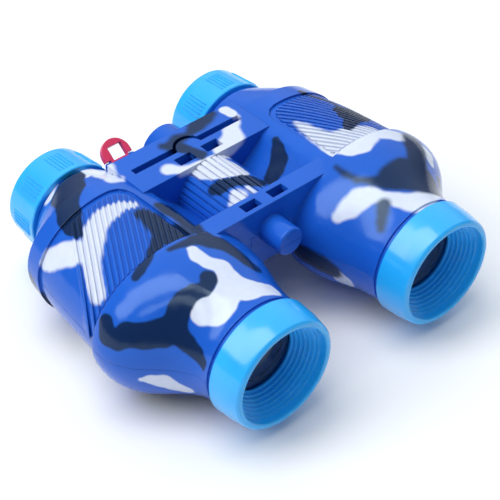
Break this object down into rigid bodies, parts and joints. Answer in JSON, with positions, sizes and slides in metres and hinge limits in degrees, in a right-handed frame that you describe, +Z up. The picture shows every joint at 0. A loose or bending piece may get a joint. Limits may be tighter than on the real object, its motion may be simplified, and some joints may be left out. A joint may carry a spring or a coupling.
{
  "type": "toy binoculars",
  "caption": "Camouflage-patterned toy binoculars: two-shell body with bridge, stepped objective rings, turning eyecups, lenses and a swinging strap loop.",
  "frame": {"origin": "centre of the footprint's bounding box, on the surface the toy rests on", "axes": "+Y from the objective rings towards the eyecups along the barrels, +X to the right barrel as seen from in front of the objectives, +Z up"},
  "size_m": [0.1344, 0.1124, 0.0457],
  "materials": {
    "camo_body": "glossy blue plastic printed with a blue, navy and off-white camouflage pattern",
    "sky_trim": "glossy light blue plastic, smooth with a soft highlight",
    "clear_lens": "clear moulded plastic lens",
    "dark_insert": "dark navy plastic inside the barrels",
    "red_loop": "pink-red plastic, half gloss"
  },
  "bodies": {
    "housing": {"upper_housing": "camo_body", "lower_housing": "camo_body", "left_objective_ring": "sky_trim", "right_objective_ring": "sky_trim", "left_objective_lens": "clear_lens", "right_objective_lens": "clear_lens", "left_objective_retainer": "dark_insert", "right_objective_retainer": "dark_insert"},
    "left_eyecup_unit": {"left_eyecup": "sky_trim", "left_eye_lens": "clear_lens", "left_eye_retainer": "dark_insert"},
    "right_eyecup_unit": {"right_eyecup": "sky_trim", "right_eye_lens": "clear_lens", "right_eye_retainer": "dark_insert"},
    "loop": {"strap_loop": "red_loop"}
  },
  "joints": [
    {"name": "left_eyecup_turn", "type": "hinge", "parent": "housing", "child": "left_eyecup_unit", "pos_m": [-0.033, 0.0487, 0.0226], "axis": [0, 1, 0], "continuous": true},
    {"name": "right_eyecup_turn", "type": "hinge", "parent": "housing", "child": "right_eyecup_unit", "pos_m": [0.033, 0.0487, 0.0226], "axis": [0, 1, 0], "continuous": true},
    {"name": "strap_loop_swing", "type": "hinge", "parent": "housing", "child": "loop", "pos_m": [-0.0186, 0.03495, 0.0379], "axis": [1, 0, 0], "range_deg": [0, 58]}
  ]
}
